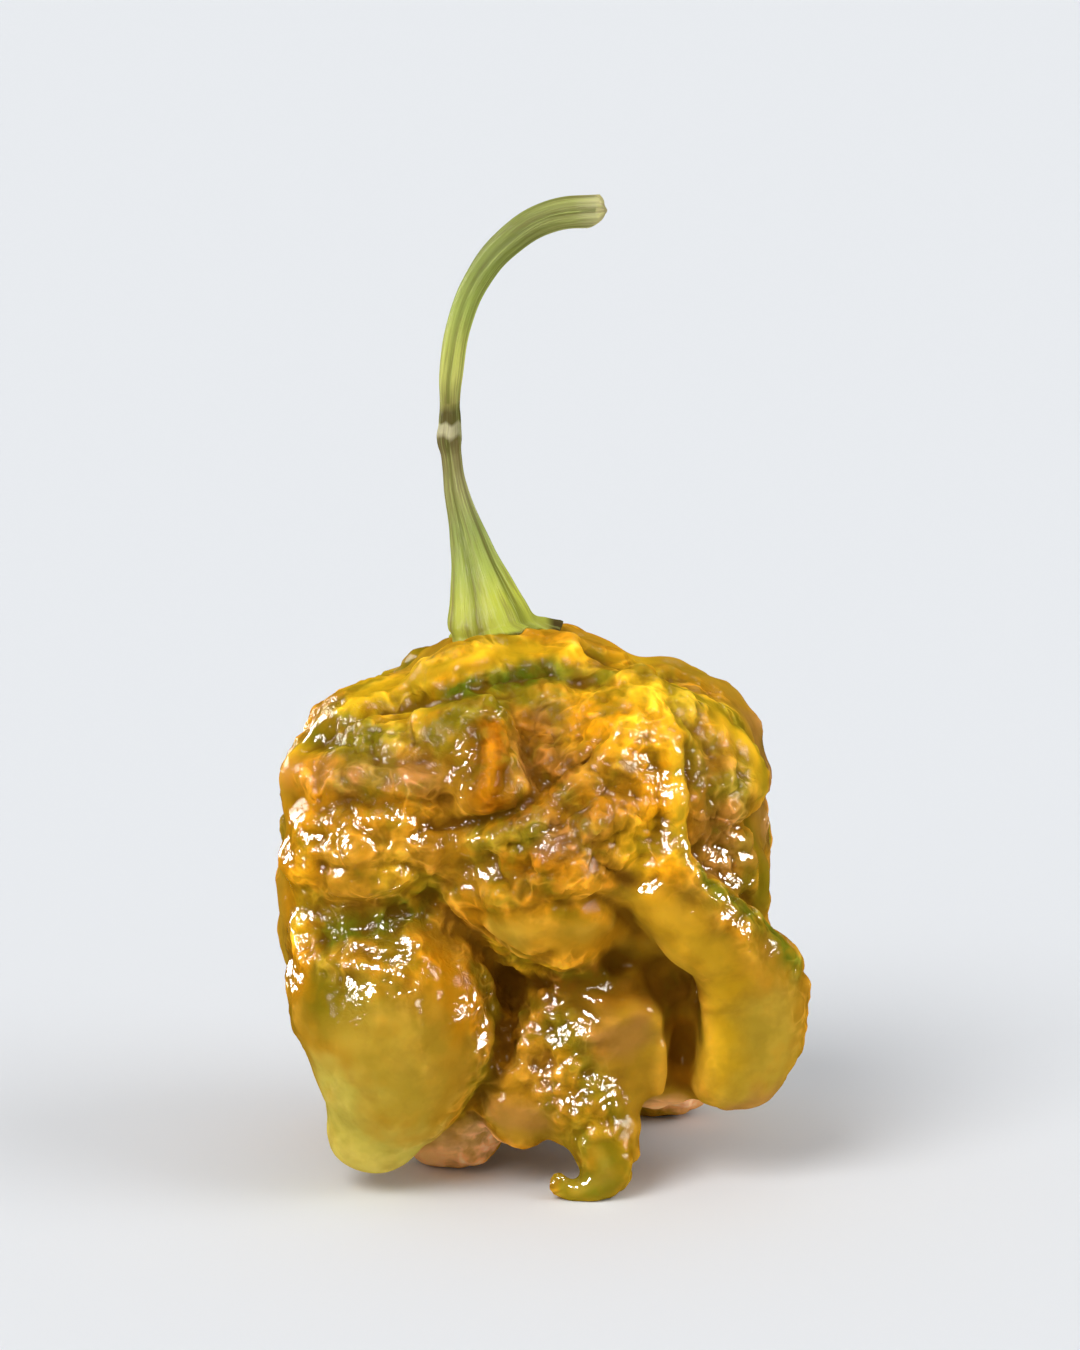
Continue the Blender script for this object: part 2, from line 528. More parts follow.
# brush strokes over the skin, for each side: colour, marks across and up, reach in mm, strength
podPaint = {"front": [
    ("gold", [(-16.2, 34), (-13, 36.8), (-8.2, 38.8), (-3, 40.4), (2, 40.6)], 2.4, 1),
    ("orange", [(-10.4, 37.6), (-6.6, 38.6), (-2.4, 39.6)], 0.8, 0.5),
    ("deepOrange", [(-5, 41.4), (-1, 42), (2.4, 41.6)], 1, 0.6),
    ("olive", [(-9, 38.2), (-6.4, 39.4)], 0.8, 0.5),
    ("orange", [(1, 40), (3.6, 40.2)], 1.2, 0.6),
    ("yellow", [(9, 37.5), (13.5, 36), (16, 33.6)], 3, 0.9),
    ("gold", [(5, 37.4), (8, 36.2), (13, 35.4), (15.6, 33)], 3, 0.9),
    ("brightOrange", [(4.6, 36), (7.4, 34.8), (9, 32.4), (9.6, 28.6), (9.8, 25.6)], 2.6, 1),
    ("gold", [(7.6, 35.4), (8.8, 33.4)], 1, 0.6),
    ("yellow", [(10.6, 33.4), (10.9, 29.4), (11, 26)], 0.9, 0.7),
    ("green", [(-15.6, 34.6), (-13.3, 35.4), (-10.3, 36.4), (-7.3, 37), (-3, 38.2), (1.2, 39)], 1.4, 1),
    ("olive", [(-14.6, 34.4), (-10, 35.2), (-5.4, 36), (-1, 36.6)], 2, 0.95),
    ("green", [(1.6, 39.2), (4.4, 38.5), (5.6, 39)], 1, 0.75),
    ("olive", [(5, 40.2), (9.6, 39)], 1, 0.7),
    ("pinkBrown", [(-17.6, 31.6), (-13, 31.8), (-8, 31.6)], 1.5, 0.7),
    ("brown", [(-15.4, 29.8), (-10.6, 29.6), (-6.4, 29.8)], 0.9, 0.6),
    ("brown", [(-6.8, 27.4), (-7.4, 25)], 1.2, 0.4),
    ("orange", [(-12, 28.4), (-8, 28.4)], 1.4, 0.4),
    ("yellow", [(7.2, 27.8), (8, 25.4)], 1.5, 0.6),
    ("gold", [(-10, 24.4), (-8, 23.4)], 1.4, 0.5),
    ("rust", [(-2.8, 35), (-2.8, 32), (-3, 29.4), (-1, 28.9)], 1.6, 1),
    ("orange", [(-2.9, 33.6), (-3, 30.8)], 0.5, 0.4),
    ("brown", [(-4, 34.6), (-4.1, 31)], 0.6, 0.6),
    ("pinkBrown", [(0.2, 34.6), (0.6, 32.4), (1.6, 31.8)], 1.7, 0.85),
    ("brown", [(0.2, 34.6), (0.9, 32.4), (2.2, 31.6)], 1.8, 0.85),
    ("brown", [(0, 30.2), (2, 31.4), (4.2, 33.2)], 1, 0.7),
    ("brown", [(-5.6, 27.9), (-3.7, 28.3), (-1.8, 28.9), (0, 29.7), (1.5, 30.8), (3, 32)], 0.5, 0.9),
    ("brown", [(0.4, 27), (3.6, 27.8)], 2.6, 0.5),
    ("brown", [(0.4, 26.6), (3, 26.4)], 2, 0.7),
    ("pinkBrown", [(1, 27.2), (3.6, 27.8)], 1.2, 0.5),
    ("olive", [(-4, 27.2), (-1, 27), (0.6, 27.6)], 1.1, 0.75),
    ("brown", [(2.6, 29.6), (6, 28.6)], 2.2, 0.6),
    ("brown", [(5.8, 31.6), (7.4, 30.2)], 1.2, 0.5),
    ("deepOrange", [(-1.4, 24.8), (0.6, 23.8)], 1.7, 0.9),
    ("brown", [(-0.4, 24), (1.4, 22.9)], 0.9, 0.45),
    ("brown", [(5, 24.8), (6.8, 23.8)], 1, 0.6),
    ("orange", [(-3.4, 21.4), (0.6, 21), (5, 20.8)], 1.8, 0.4),
    ("pale", [(-2.6, 20), (0.6, 19.4), (4, 19.6)], 1.5, 0.6),
    ("yellow", [(-2.6, 18.8), (-0.4, 17.6), (1.2, 17.4)], 1.2, 0.7),
    ("orange", [(1, 19), (4.4, 18.6), (6.2, 19.8)], 1.6, 0.5),
    ("green", [(-15.4, 19.4), (-13, 20.2), (-10.6, 20.8), (-7.6, 22.8)], 1.3, 0.9),
    ("olive", [(-16, 15.4), (-13.6, 15), (-11.6, 15.6)], 1.9, 0.7),
    ("olive", [(-14.8, 13), (-15.8, 17)], 1.4, 0.5),
    ("orange", [(-17.2, 27.4), (-17.6, 21), (-17.2, 16.4)], 1.7, 0.8),
    ("gold", [(-16.8, 26.4), (-17.2, 20)], 0.9, 0.8),
    ("orange", [(-8.2, 17.8), (-5.8, 16.4), (-4.6, 13.4)], 1.8, 0.8),
    ("pale", [(-11.4, 11.6), (-9.6, 7.4)], 3.6, 0.9),
    ("lime", [(-14.6, 7.8), (-13.4, 3.4), (-9, 2.6)], 3.4, 0.95),
    ("olive", [(-2.6, 14), (-2.4, 11), (-4.4, 7.6)], 1.3, 0.7),
    ("brown", [(-1.6, 16.8), (-1.5, 13), (-2.2, 9.6)], 1, 0.9),
    ("tucked", [(-9, 1.6), (-5.4, 3.2), (-3.4, 4.6)], 2.4, 1),
    ("pinkBrown", [(14, 32), (14.6, 26)], 3.2, 0.45),
    ("brown", [(13.6, 32.4), (13.8, 26)], 1, 0.5),
    ("olive", [(15.6, 32.6), (15.9, 26)], 1, 0.6),
    ("olive", [(13, 29.6), (15.4, 31.4)], 1, 0.5),
    ("brown", [(12.4, 30.4), (12.6, 26.6)], 1, 0.5),
    ("olive", [(17.6, 32.6), (17.4, 27)], 1.4, 0.6),
    ("green", [(12.8, 24.2), (15.6, 21.8), (18.2, 19.6), (19.8, 17.4)], 1.1, 0.9),
    ("olive", [(16.6, 24), (17.8, 22.4)], 1.4, 0.7),
    ("gold", [(8.4, 21.8), (11.4, 19.2), (14.2, 17)], 1.9, 0.35),
    ("yellow", [(14.6, 15.4), (14.6, 12), (14.8, 9)], 1.8, 0.6),
    ("pale", [(17.6, 14), (17.8, 10), (16.6, 7.6)], 2.4, 0.9),
    ("pinkBrown", [(14.4, 6.2), (17.4, 7)], 1.8, 0.7),
    ("brown", [(2, 15.8), (7, 15.8), (9.8, 14.6)], 2, 0.85),
    ("brown", [(11, 15), (11.2, 9)], 1.6, 0.9),
    ("brown", [(3.4, 16.8), (6.6, 17.6)], 1.2, 0.8),
    ("dark", [(6, 17.8), (7.8, 18.2), (9.8, 16.8), (10.4, 15.4)], 1.3, 0.6),
    ("deepOrange", [(11.2, 13), (11.3, 9)], 1.2, 0.5),
    ("dark", [(-1.8, 16.4), (-1.3, 14.4), (-1.6, 12)], 1.4, 1),
    ("dark", [(-0.6, 16.2), (0.8, 16)], 0.8, 0.7),
    ("dark", [(-1.9, 11.4), (-2.6, 8.4)], 0.7, 0.6),
    ("dark", [(12.4, 15.6), (12.6, 12)], 0.7, 0.6),
    ("pinkBrown", [(5, 11.6), (8, 12.4)], 1.6, 0.6),
    ("pale", [(-2.4, 6), (0.2, 5.4)], 1.4, 0.25),
    ("pinkBrown", [(-2.4, 6.4), (0.4, 5.6)], 1.3, 0.6),
    ("olive", [(2.6, 12.4), (4, 9.4), (5.6, 6)], 1.5, 0.75),
    ("olive", [(4.6, 5.6), (5.6, 4.4), (6.2, 2.6), (4.6, 0.8), (3, 0.8)], 2, 0.95),
    ("green", [(5.2, 4.6), (5.8, 2.6), (4.6, 0.8)], 1.2, 0.5),
    ("pale", [(5, 3.6), (5.6, 2), (3.4, 0.7)], 0.6, 0.35),
    ("tucked", [(9.4, 6.8), (11.6, 6.4), (14.2, 6)], 1.8, 1),
], "right": [
    # the sides that the front doesn't show carry the same colours
    ("olive", [(-3, 36), (-2, 28), (-3, 20)], 1.3, 0.7),
    ("pinkBrown", [(1.4, 33), (1.6, 26)], 2.6, 0.6),
    ("orange", [(8, 36), (8.4, 29)], 2.2, 0.7),
    ("green", [(4.4, 28), (4.4, 18)], 1.2, 0.7),
    ("yellow", [(-6, 38), (2, 38.6), (9, 37)], 2, 0.7),
    ("pale", [(10, 8), (12, 5)], 3.4, 0.7),
], "back": [
    ("yellow", [(-12, 36.4), (-3, 37.4), (8, 37), (14, 34.4)], 2.2, 0.8),
    ("green", [(-9.6, 30), (-9.8, 22), (-9.4, 15)], 1.2, 0.7),
    ("pinkBrown", [(-6, 28), (-5.6, 20)], 2.6, 0.6),
    ("orange", [(1.4, 31), (1, 24)], 2.6, 0.7),
    ("olive", [(5, 30), (4.8, 22), (5.2, 14)], 1.3, 0.75),
    ("pinkBrown", [(8.6, 29), (8.4, 23)], 2.2, 0.6),
    ("pale", [(9, 9), (9, 4)], 3.8, 0.7),
    ("lime", [(-9.6, 8), (-9.6, 3)], 3.6, 0.7),
    ("brown", [(0, 13), (0.4, 7)], 2.6, 0.8),
], "left": [
    ("green", [(-3, 34), (-3.2, 26), (-2.8, 18)], 1.3, 0.7),
    ("pinkBrown", [(0.6, 31), (0.6, 24)], 2.4, 0.6),
    ("orange", [(7.4, 32), (8, 24)], 2.4, 0.7),
    ("yellow", [(-8, 36), (0, 37.4), (8, 36.6)], 2, 0.7),
    ("lime", [(2, 6), (6, 4)], 4, 0.6),
], "top": [
    ("olive", [(-9, 4), (-6.4, 6.2), (-2.8, 7.2), (1.4, 6.6)], 1.2, 0.7),
    ("orange", [(5, 6), (9, 8)], 3, 0.6),
]}

# how wet the gloss looks, painted over an even little: side, marks, reach in mm, how wet from 0 to 1
podShine = [
    ("front", [(-16, 34.4), (-14, 36.8), (-8.2, 38.8), (-5, 39.8)], 2, 0.4),
    ("front", [(-3.4, 40.4), (2, 40.6)], 2.2, 0.09),
    ("front", [(6, 37.6), (10, 37.4), (15, 35)], 3.2, 0.07),
    ("top", [(-8, -2), (4, 0), (12, 2)], 7, 0.04),
    ("front", [(-2.6, 34.8), (-2.8, 30)], 1.8, 0.01),
    ("front", [(0.2, 34.6), (1.6, 31.6)], 2, 0.015),
    ("front", [(3, 31), (6, 28), (6, 25.6)], 3, 0.07),
    ("front", [(-14.4, 31.6), (-8.6, 31.2)], 2, 0.05),
    ("front", [(-1, 24.2), (1, 22.6)], 2, 0.02),
    ("front", [(-3, 20.4), (1, 19.6), (5, 20)], 2.4, 0.03),
    ("front", [(-11.4, 9), (-9.4, 5)], 5, 0.05),
    ("front", [(-1.6, 15.4), (-1.6, 11)], 1.4, 0.01),
    ("front", [(7.6, 17.2), (11.2, 14), (11.2, 9)], 1.8, 0.01),
    ("front", [(13.6, 12), (16, 8)], 3, 0.05),
    ("front", [(-14.6, 26.4), (-9.8, 26.6)], 2, 1),
    ("front", [(-12.4, 28.2), (-9.6, 28.4)], 1.3, 0.6),
    ("front", [(-14.4, 22.6), (-12, 22.8), (-9.6, 24)], 1.5, 0.7),
    ("front", [(-17.4, 26.6), (-17.6, 24), (-17.8, 19.2), (-17.2, 16.4)], 1.5, 0.9),
    ("front", [(-11.2, 18.4), (-11, 15.8)], 1.9, 1),
    ("front", [(-9.6, 19.2)], 1.2, 0.8),
    ("front", [(-4, 13.8), (-3.8, 11.2)], 1.5, 1),
    ("front", [(-3.9, 26.2), (-3.8, 23)], 1.1, 0.9),
    ("front", [(-5.2, 33.2), (-5.2, 30)], 0.8, 0.7),
    ("front", [(-2.6, 36.4)], 1, 0.5),
    ("front", [(0.9, 26.8)], 1, 0.3),
    ("front", [(6.8, 22.6), (10.4, 23.2)], 1.4, 1),
    ("front", [(6.4, 35), (9.6, 33.6)], 1.6, 0.3),
    ("front", [(10.2, 32.8), (10.6, 29), (10.8, 26.4)], 0.9, 0.8),
    ("front", [(14, 27.2), (16.2, 24.2)], 1.7, 1),
    ("front", [(12.4, 24), (15, 21.6), (17.6, 19.4)], 1.2, 0.9),
    ("front", [(14.7, 14.8)], 1.3, 0.8),
    ("front", [(1.6, 14), (4.4, 13.2)], 1.4, 0.5),
    ("front", [(1.2, 12), (2, 9), (4.6, 7)], 2, 0.5),
    ("front", [(5.6, 10.4), (8.8, 10.4)], 1.4, 0.5),
    ("front", [(5, 1.4), (3, 0.8)], 1.2, 0.8),
    ("front", [(-13.2, 33.6), (-9, 34.6)], 1.2, 0.12),
    ("front", [(-14, 29.9), (-6.4, 29.6)], 0.8, 0.02),
    ("front", [(-15, 16), (-14.6, 13)], 1.5, 0.015),
    ("back", [(-11, 30), (-10.6, 20)], 2.4, 0.9),
    ("back", [(2, 30), (2.2, 22)], 2.4, 0.8),
    ("back", [(9.6, 14), (-9, 13)], 2.6, 0.8),
    ("left", [(-4, 30), (-4.4, 20)], 2.6, 0.9),
    ("right", [(1.4, 31), (1.6, 22)], 2.6, 0.8),
    ("right", [(9, 16)], 3, 0.8),
]

# how the paint goes on
podBrush = {
    "wrinkled": "deepMustard",  # the colours under all strokes
    "smooth": "mustard",
    "ragged": 0.45,  # how unevenly a stroke ends, as a share of its reach
    "raggedSize": 1.5,  # mm
    "edge": 1.45,  # where a stroke ends, as a share of its reach
    "softness": 1.2,  # the more, the sooner a stroke fades
    "lookedUp": 2.2,  # points further off than this share of the reach are left out
    "evenWetness": 0.11,
    "wetSpread": 1.6,  # how far the gloss runs, as a share of its reach
    "wetMean": 0.85,  # how the gloss breaks up: how much is left on average, and how far that varies
    "wetVaries": 0.8,
    "wetSize": 1.3,  # mm, of the patches it breaks up into
}
# how deep in a crease a point lies: rounds of averaging, what counts as deep in mm, and its share
creaseScales = {
    "fine": {"rounds": 4, "deep": 0.1, "share": 0.35},
    "broad": {"rounds": 24, "deep": 0.5, "share": 0.75},
}


def paintSkin(obj):
    # a painted colour, how wet and how wrinkled each point is, and how deep in a crease it lies
    points, normals = readSkin(obj)
    ragged = 1.0 + podBrush["ragged"] * noiseAt(points, podBrush["raggedSize"], 7.3)
    smooth = placeWeight(obj, points, podPlaces["smooth"])
    under, over = (np.array(podColours[podBrush[where]]) for where in ("wrinkled", "smooth"))
    colour = under * (1 - smooth[:, None]) + over * smooth[:, None]
    for view, strokes in podPaint.items():
        for name, marks, reach, strength in strokes:
            path = strokePath(obj, view, marks)
            if not path:
                continue
            near = pathDistance(points, path, podBrush["lookedUp"] * reach) / (reach * ragged)
            weight = strength * np.clip(podBrush["edge"] - near, 0.0, 1.0) ** podBrush["softness"]
            colour += (np.array(podColours[name]) - colour) * weight[:, None]
    giveColour(obj, "skinTint", colour)
    giveLayer(obj, "creaseDepth", "FLOAT", creaseDepth(obj, points, normals))
    wet = np.full(len(points), podBrush["evenWetness"])
    for view, marks, reach, wetness in podShine:
        wet += (wetness - wet) * placeWeight(obj, points, [(view, marks, podBrush["wetSpread"] * reach)])
    broken = podBrush["wetMean"] + podBrush["wetVaries"] * noiseAt(points, podBrush["wetSize"], 3.1)
    giveLayer(obj, "wetness", "FLOAT", np.clip(wet * broken, 0.0, 1.0))
    giveLayer(obj, "wrinkled", "FLOAT", 1.0 - smooth)


def neighbourMean(obj, values, rounds):
    edges = np.empty(len(obj.data.edges) * 2, np.int32)
    obj.data.edges.foreach_get("vertices", edges)
    edges = edges.reshape(-1, 2)
    starts = np.concatenate([edges[:, 0], edges[:, 1]])
    ends = np.concatenate([edges[:, 1], edges[:, 0]])
    count = np.bincount(starts, minlength=len(values))
    for _ in range(rounds):
        total = [np.bincount(starts, weights=column[ends], minlength=len(values)) for column in values.T]
        values = np.column_stack(total) / count[:, None]
    return values


def creaseDepth(obj, points, normals):
    # below zero on ridges and above it in creases, from how the skin stands against its surroundings
    depth = np.zeros(len(points))
    surroundings = points
    for scale in creaseScales.values():
        surroundings = neighbourMean(obj, surroundings, scale["rounds"])
        depth += scale["share"] * (np.sum((surroundings - points) * normals, axis=1) / scale["deep"])
    return np.clip(depth, -1.0, 1.0)


def newMaterial(name):
    made = bpy.data.materials.new(name)
    made.use_nodes = True
    tree = made.node_tree
    return made, tree, tree.nodes["Principled BSDF"]


def feed(tree, socket, value):
    # a link, or a value of its own
    if isinstance(value, bpy.types.NodeSocket):
        tree.links.new(value, socket)
    else:
        socket.default_value = value


def addNode(tree, kind, inputs=None, **settings):
    node = tree.nodes.new(kind)
    for name, value in settings.items():
        setattr(node, name, value)
    for key, value in (inputs or {}).items():
        feed(tree, node.inputs[key], value)
    return node


def attribute(tree, name, output="Fac"):
    return addNode(tree, "ShaderNodeAttribute", attribute_name=name).outputs[output]


def objectPlace(tree):
    return addNode(tree, "ShaderNodeTexCoord").outputs["Object"]


def combined(tree, operation, first, second=0.0):
    return addNode(tree, "ShaderNodeMath", {0: first, 1: second}, operation=operation).outputs[0]


def ramp(tree, value, low, high, start, end, curve="LINEAR"):
    # from start to end while the value goes from low to high
    inputs = {"Value": value, 1: low, 2: high, 3: start, 4: end}
    return addNode(tree, "ShaderNodeMapRange", inputs, interpolation_type=curve).outputs[0]


def mixColours(tree, share, first, second, blend="MIX"):
    node = addNode(tree, "ShaderNodeMix", data_type="RGBA", blend_type=blend)
    sockets = [socket for socket in node.inputs if socket.enabled]
    for socket, value in zip(sockets, (share, first, second)):
        feed(tree, socket, value)
    return next(socket for socket in node.outputs if socket.enabled)


def noiseValue(tree, place, scale, detail=2.0, roughness=0.5, distortion=0.0):
    inputs = {"Scale": scale, "Detail": detail, "Roughness": roughness, "Distortion": distortion}
    return addNode(tree, "ShaderNodeTexNoise", {"Vector": place, **inputs}).outputs["Fac"]


def relief(tree, height, strength, depth, under=None, invert=False):
    # bumps of that depth in mm, on the bumps under them
    inputs = {"Height": height, "Strength": strength, "Distance": depth * mm}
    if under is not None:
        inputs["Normal"] = under
    return addNode(tree, "ShaderNodeBump", inputs, invert=invert).outputs["Normal"]


def finishSurface(tree, shader, colour, bumps, finish):
    feed(tree, shader.inputs["Base Color"], colour)
    feed(tree, shader.inputs["Normal"], bumps)
    feed(tree, shader.inputs["Coat Normal"], bumps)
    for name, value in finish.items():
        feed(tree, shader.inputs[name], value)


# patches of other colours: how fine in lumps to the metre, the noise values where they start and are full
podPatches = [
    {"colour": (0.18, 0.145, 0.005, 1), "scale": 230, "from": 0.5, "to": 0.6, "most": 0.6, "shifted": False},
    {"colour": (0.6, 0.23, 0.004, 1), "scale": 260, "from": 0.52, "to": 0.64, "most": 0.4, "shifted": True},
    {"colour": (0.17, 0.075, 0.005, 1), "scale": 480, "from": 0.5, "to": 0.66, "most": 0.5, "shifted": True},
]
patchShift = (0.03, 0.05, 0.02)  # m
patchesOnSmooth = 0.35  # how strong they are where the skin is smooth
# thin wrinkles, how far the noise may be from its middle on one, and the patches that they come in
wormNoise = {"scale": 500, "detail": 1.5, "distortion": 0.7}
wormWidth = 0.12
wormPatches = {"scale": 330, "from": 0.36, "to": 0.6, "most": 1.0}
# a lift is how much paler than the paint it gets: red, green, blue
wormTint = {"lift": (2.5, 2.5, 4.5, 1), "most": 0.5}
ridgeTint = {"lift": (1.9, 1.85, 2.6, 1), "from": -0.1, "to": -0.9, "most": 0.6}
creaseTint = {"colour": (0.15, 0.055, 0.003, 1), "from": 0.12, "to": 0.9, "most": 0.7}
crinkleNoise = {"scale": 1250, "distortion": 1.2}
crinklesOnSmooth = 0.3
poreNoise = {"Scale": 1700, "Smoothness": 0.7}
# bumps: how strong, and how deep in mm
podBumps = {"worms": (0.7, 0.14), "crinkles": (0.3, 0.5), "pores": (0.15, 0.2)}
podFinish = {
    "Roughness": 0.4,
    "Specular IOR Level": 0.0,
    "Coat Roughness": 0.07,
    "Subsurface Weight": 0.2,
    "Subsurface Radius": (1.0, 0.45, 0.1),
    "Subsurface Scale": 1.5 * mm,
}


def showing(tree, value, mark):
    # how much of a mark shows, by a value that it comes in with
    return ramp(tree, value, mark["from"], mark["to"], 0.0, mark["most"])


def patchShare(tree, place, patch, detail=3.0):
    return showing(tree, noiseValue(tree, place, patch["scale"], detail, 0.6), patch)


def thinWorms(tree, place, wrinkled):
    # thin wrinkles, finer than the mesh: lines where soft noise passes its middle, in patches
    fromMiddle = combined(tree, "SUBTRACT", noiseValue(tree, place, **wormNoise), 0.5)
    fromMiddle = combined(tree, "ABSOLUTE", fromMiddle)
    line = ramp(tree, fromMiddle, 0.0, wormWidth, 1.0, 0.0, "SMOOTHSTEP")
    line = combined(tree, "MULTIPLY", line, wrinkled)
    return combined(tree, "MULTIPLY", line, patchShare(tree, place, wormPatches, 1.0))


def podMaterial():
    made, tree, shader = newMaterial("podSkin")
    place = objectPlace(tree)
    base = attribute(tree, "skinTint", "Color")
    crease = attribute(tree, "creaseDepth")
    wrinkled = attribute(tree, "wrinkled")
    # olive, orange and brown patches, most of them where the skin is wrinkled
    patched = ramp(tree, wrinkled, 0.0, 1.0, patchesOnSmooth, 1.0)
    shifted = addNode(tree, "ShaderNodeMapping", {"Vector": place, "Location": patchShift}).outputs["Vector"]
    for patch in podPatches:
        share = patchShare(tree, shifted if patch["shifted"] else place, patch)
        base = mixColours(tree, combined(tree, "MULTIPLY", share, patched), base, patch["colour"])
    # thin golden wrinkles over browner skin
    worms = thinWorms(tree, place, wrinkled)
    onWorm = combined(tree, "MULTIPLY", worms, wormTint["most"])
    base = mixColours(tree, onWorm, base, wormTint["lift"], "MULTIPLY")
    # creases go brown, and ridges are paler
    inCrease = showing(tree, crease, creaseTint)
    base = mixColours(tree, inCrease, base, creaseTint["colour"])
    onRidge = showing(tree, crease, ridgeTint)
    base = mixColours(tree, onRidge, base, ridgeTint["lift"], "MULTIPLY")
    # the wrinkles, tight crinkles and fine pores under and in the gloss
    crinkled = ramp(tree, wrinkled, 0.0, 1.0, crinklesOnSmooth, 1.0)
    crinkles = combined(tree, "MULTIPLY", noiseValue(tree, place, **crinkleNoise), crinkled)
    pores = addNode(tree, "ShaderNodeTexVoronoi", {"Vector": place, **poreNoise}, feature="SMOOTH_F1")
    bumps = relief(tree, worms, *podBumps["worms"])
    bumps = relief(tree, crinkles, *podBumps["crinkles"], bumps)
    bumps = relief(tree, pores.outputs["Distance"], *podBumps["pores"], bumps, invert=True)
    finishSurface(tree, shader, base, bumps, {**podFinish, "Coat Weight": attribute(tree, "wetness")})
    return made


pod = makePod()
paintSkin(pod)
pod.data.materials.append(podMaterial())
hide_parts("pod")
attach(pod, "root")
print("pod done")

# the calyx and stem

# the stem's line, station by station: x, y, z and radius in mm, from inside the crown to the cut end
stemLine = [
    (-3.3, -0.9, 36, 4.3), (-3.5, -0.8, 39.3, 3.9), (-4.1, -0.5, 42.4, 2.9), (-4.75, -0.2, 45.2, 1.95),
    (-5.5, 0.2, 48.2, 1.3), (-6.3, 0.55, 51.4, 0.88), (-6.62, 0.7, 53.9, 0.76), (-6.76, 0.66, 55.1, 0.92),
    (-6.72, 0.7, 55.9, 0.85), (-6.7, 0.7, 56.7, 0.8), (-6.7, 0.7, 57.8, 0.74), (-6.6, 0.6, 60, 0.88),
    (-5.95, 0.4, 64, 0.92), (-4.55, 0.1, 67.4, 0.98), (-2.4, -0.3, 70.1, 1.08), (0.7, -0.8, 72.1, 1.16),
    (4.9, -1.4, 72.7, 1.2),
]
tipRadius = stemLine[-1][3]
stem = {
    "sides": 96,
    "steps": 14,  # rings from one station to the next
    "ribs": 5,
    "ribTurn": math.radians(-84),  # the first rib and tooth, round from the back
    "ribDepth": 0.085,  # share of the radius
    "ribFade": 20.0,  # the ribs get shallower over about this length, mm
    "ribLeast": 0.35,  # and stay this share as deep
    "veinDepth": 0.06,  # share of the radius
    "veins": (2.6, 0.1),  # how fine and how drawn out
    "ring": (19.6, 22.3),  # from where to where the joint ring runs along the stem, mm
    "cutInsets": (0.12, 0.2, 0.22, 0.22, 0.2),  # rings on the cut end, from its edge inwards, mm
    "cutReach": 3.6,  # how far down the stem the rough cut is felt, mm
    "chip": 1.1,  # how deep the cut end is chipped low down, mm
    "wornEdge": 0.42,  # how far its edge is worn back, mm
    "trim": 0.1,  # how far all of it is cut back, mm
    "pith": 0.36,  # how rough it is, mm
    "pithSize": 0.5,  # mm
}
# the brim that lies on the crown, in mm
calyx = {
    "top": 6.4,  # how far along the stem the brim's own shape ends
    "topHeight": 42.4,
    "topRadius": 2.85,
    "reach": 3.5,
    "lean": 0.35,  # it reaches this much further on the right, and less on the left
    "tooth": 1.35,  # how far the dried tooth on the right stands out
    "otherTeeth": 0.45,  # the others, as a share of it
    "toothShape": 1.6,  # the more, the sharper
    "curl": 0.75,  # how far the teeth's tips lift off the skin
    # the hidden underside: share of the way from the foot, share of the reach, height over the skin
    "underside": [(0.0, 0.5, -1.6), (0.3, 0.93, -0.5), (0.45, 1.0, 0.14)],
    "flare": 0.7,  # how much of the brim's width is a thin flare, and how thin
    "flareShape": 1.9,
    "slope": 1.5,  # the more, the flatter the brim lies before it climbs
    "blendFrom": 0.35,  # from this share of the way up it turns into the stem's own rings
}
# how the colour changes along the stem: how far along in mm, colour
stemTints = [
    (0, (0.3, 0.33, 0.05)), (3.2, (0.36, 0.4, 0.06)), (5.2, (0.5, 0.53, 0.07)), (7.4, (0.56, 0.6, 0.07)),
    (9.6, (0.42, 0.49, 0.09)), (12.6, (0.31, 0.37, 0.08)), (15.6, (0.36, 0.35, 0.11)),
    (18.2, (0.27, 0.235, 0.085)), (19.6, (0.16, 0.13, 0.045)), (20, (0.56, 0.51, 0.29)),
    (20.7, (0.58, 0.53, 0.31)), (21, (0.12, 0.1, 0.025)), (21.7, (0.11, 0.09, 0.022)),
    (22.4, (0.36, 0.33, 0.09)), (24.4, (0.68, 0.68, 0.17)), (26.5, (0.62, 0.65, 0.14)),
    (29.5, (0.42, 0.5, 0.1)), (33, (0.29, 0.35, 0.07)), (37.5, (0.28, 0.31, 0.08)),
    (41.4, (0.36, 0.37, 0.11)), (43.2, (0.6, 0.56, 0.27)),
]
stemColours = {
    "valley": (0.1, 0.115, 0.012),
    "streak": (0.3, 0.2, 0.09),
    "toothTip": (0.07, 0.05, 0.014),
    "cut": (0.6, 0.55, 0.24),
}
# how strongly each of them shows, and how fine and how drawn out the streaks are
stemStreaks = {
    "betweenRibs": 0.5,
    "valleys": {"veins": (3.0, 0.09), "from": 0.1, "most": 0.9},
    "streaks": {"veins": (3.6, 0.07), "from": 0.15, "most": 1.1},
    "streaksTo": 20.0,  # how far along the stem the brown streaks run, mm
    "unevenness": 0.34,  # how raggedly one colour along the stem meets the next, mm
    "unevenVeins": (1.4, 0.3),
    "ringShade": 0.55,  # on the ring's right side
    "tipFrom": 0.75,  # the teeth dry out from this far past the brim's reach, over this length, mm
    "tipOver": 0.5,
    "cutLength": 2.5,  # only this last part of the stem has the colour of the cut, mm
    "cutFrom": 0.1,  # how far the skin turns along the stem where that colour starts, and over what range
    "cutOver": 0.35,
    "pithSize": 0.35,  # mm, of the brown specks on it
}
